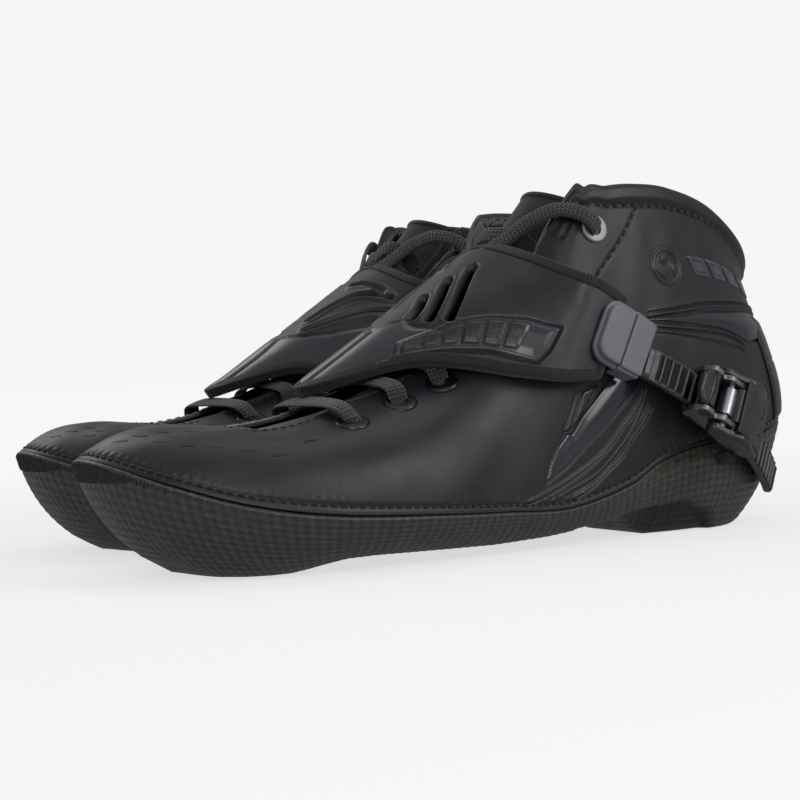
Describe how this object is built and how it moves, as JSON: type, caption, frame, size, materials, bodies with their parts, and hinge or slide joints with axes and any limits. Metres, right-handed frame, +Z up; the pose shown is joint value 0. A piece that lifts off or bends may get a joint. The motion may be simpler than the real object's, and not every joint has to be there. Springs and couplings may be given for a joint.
{
  "type": "pair of speed skate boots",
  "caption": "Low-cut speed-skating boots: carbon base with mounting blocks, laced leather-like upper, instep strap with ladder and ratchet buckle.",
  "frame": {"origin": "the mouth of the left boot's front threaded insert, on the floor", "axes": "+Z up, toes towards -Y, the left boot's outer side towards +X"},
  "size_m": [0.2192, 0.3037, 0.133],
  "materials": {
    "carbon": "satin woven carbon",
    "insert_steel": "machined",
    "leather": "smooth satin black",
    "lining": "padded pile",
    "gloss_plastic": "glossy ribbed",
    "toe_rubber": "rough",
    "footbed": "knit over foam",
    "tongue": "felt edge, padded",
    "lace": "flat braid",
    "black_metal": "black enamel",
    "polished_steel": "polished",
    "strap": "moulded satin black",
    "binding": "ribbed tape",
    "moulded_black": "moulded",
    "clamp_plastic": "satin grey-black",
    "steel": "plated",
    "ladder_plastic": "ribbed satin",
    "pawl_metal": "satin"
  },
  "bodies": {
    "left_boot": {"left_carbon_shell": "carbon", "left_front_insert": "insert_steel", "left_heel_insert": "insert_steel", "left_upper": "leather", "left_lining": "lining", "left_heel_counter": "gloss_plastic", "left_toe_bumper": "toe_rubber", "left_footbed": "footbed", "left_tongue": "tongue", "left_lace": "lace", "left_eyelets": "black_metal", "left_top_eyelets": "polished_steel", "left_strap_pad": "strap", "left_strap_binding": "binding", "left_strap_anchor": "moulded_black", "left_buckle_base": "moulded_black", "left_buckle_screw": "steel", "left_buckle_nut": "steel", "left_lever_pin": "steel", "left_lock_pawl_pin": "steel", "left_lock_spring": "steel"},
    "left_strap_ladder": {"left_clamp_cover": "clamp_plastic", "left_clamp_base": "moulded_black", "left_clamp_screws": "steel", "left_ladder": "ladder_plastic"},
    "left_lever": {"left_lever": "moulded_black", "left_drive_pawl_pin": "steel", "left_drive_spring": "steel"},
    "left_drive_pawl": {"left_drive_pawl": "pawl_metal"},
    "left_lock_pawl": {"left_lock_pawl": "moulded_black"},
    "right_boot": {"right_carbon_shell": "carbon", "right_front_insert": "insert_steel", "right_heel_insert": "insert_steel", "right_upper": "leather", "right_lining": "lining", "right_heel_counter": "gloss_plastic", "right_toe_bumper": "toe_rubber", "right_footbed": "footbed", "right_tongue": "tongue", "right_lace": "lace", "right_eyelets": "black_metal", "right_top_eyelets": "polished_steel", "right_strap_pad": "strap", "right_strap_binding": "binding", "right_strap_anchor": "moulded_black", "right_buckle_base": "moulded_black", "right_buckle_screw": "steel", "right_buckle_nut": "steel", "right_lever_pin": "steel", "right_lock_pawl_pin": "steel", "right_lock_spring": "steel"},
    "right_strap_ladder": {"right_clamp_cover": "clamp_plastic", "right_clamp_base": "moulded_black", "right_clamp_screws": "steel", "right_ladder": "ladder_plastic"},
    "right_lever": {"right_lever": "moulded_black", "right_drive_pawl_pin": "steel", "right_drive_spring": "steel"},
    "right_drive_pawl": {"right_drive_pawl": "pawl_metal"},
    "right_lock_pawl": {"right_lock_pawl": "moulded_black"}
  },
  "joints": [
    {"name": "left_ladder_feed", "type": "hinge", "parent": "left_boot", "child": "left_strap_ladder", "pos_m": [-0.05646, 0.16071, 0.03097], "axis": [-0.2297, 0.5209, 0.8221], "range_deg": [-2.1, 6.4], "deforming": ["left_strap_pad", "left_strap_binding"]},
    {"name": "left_lever_lift", "type": "hinge", "parent": "left_boot", "child": "left_lever", "pos_m": [0.05256, 0.17997, 0.04922], "axis": [0.2297, -0.5209, -0.8221], "range_deg": [0, 75]},
    {"name": "left_drive_pawl_tilt", "type": "hinge", "parent": "left_lever", "child": "left_drive_pawl", "pos_m": [0.0535, 0.18402, 0.04692], "axis": [0.2297, -0.5209, -0.8221], "range_deg": [0, 15]},
    {"name": "left_release_tab", "type": "hinge", "parent": "left_boot", "child": "left_lock_pawl", "pos_m": [0.05243, 0.17191, 0.05429], "axis": [0.2297, -0.5209, -0.8221], "range_deg": [0, 18]},
    {"name": "boots_apart", "type": "slide", "parent": "left_boot", "child": "right_boot", "axis": [-1, 0, 0], "range_m": [0, 0.12]},
    {"name": "right_ladder_feed", "type": "hinge", "parent": "right_boot", "child": "right_strap_ladder", "pos_m": [-0.04554, 0.16971, 0.03097], "axis": [-0.2297, -0.5209, -0.8221], "range_deg": [-2.1, 6.4], "deforming": ["right_strap_pad", "right_strap_binding"]},
    {"name": "right_lever_lift", "type": "hinge", "parent": "right_boot", "child": "right_lever", "pos_m": [-0.15456, 0.18897, 0.04922], "axis": [0.2297, 0.5209, 0.8221], "range_deg": [0, 75]},
    {"name": "right_drive_pawl_tilt", "type": "hinge", "parent": "right_lever", "child": "right_drive_pawl", "pos_m": [-0.1555, 0.19302, 0.04692], "axis": [0.2297, 0.5209, 0.8221], "range_deg": [0, 15]},
    {"name": "right_release_tab", "type": "hinge", "parent": "right_boot", "child": "right_lock_pawl", "pos_m": [-0.15443, 0.18091, 0.05429], "axis": [0.2297, 0.5209, 0.8221], "range_deg": [0, 18]}
  ]
}
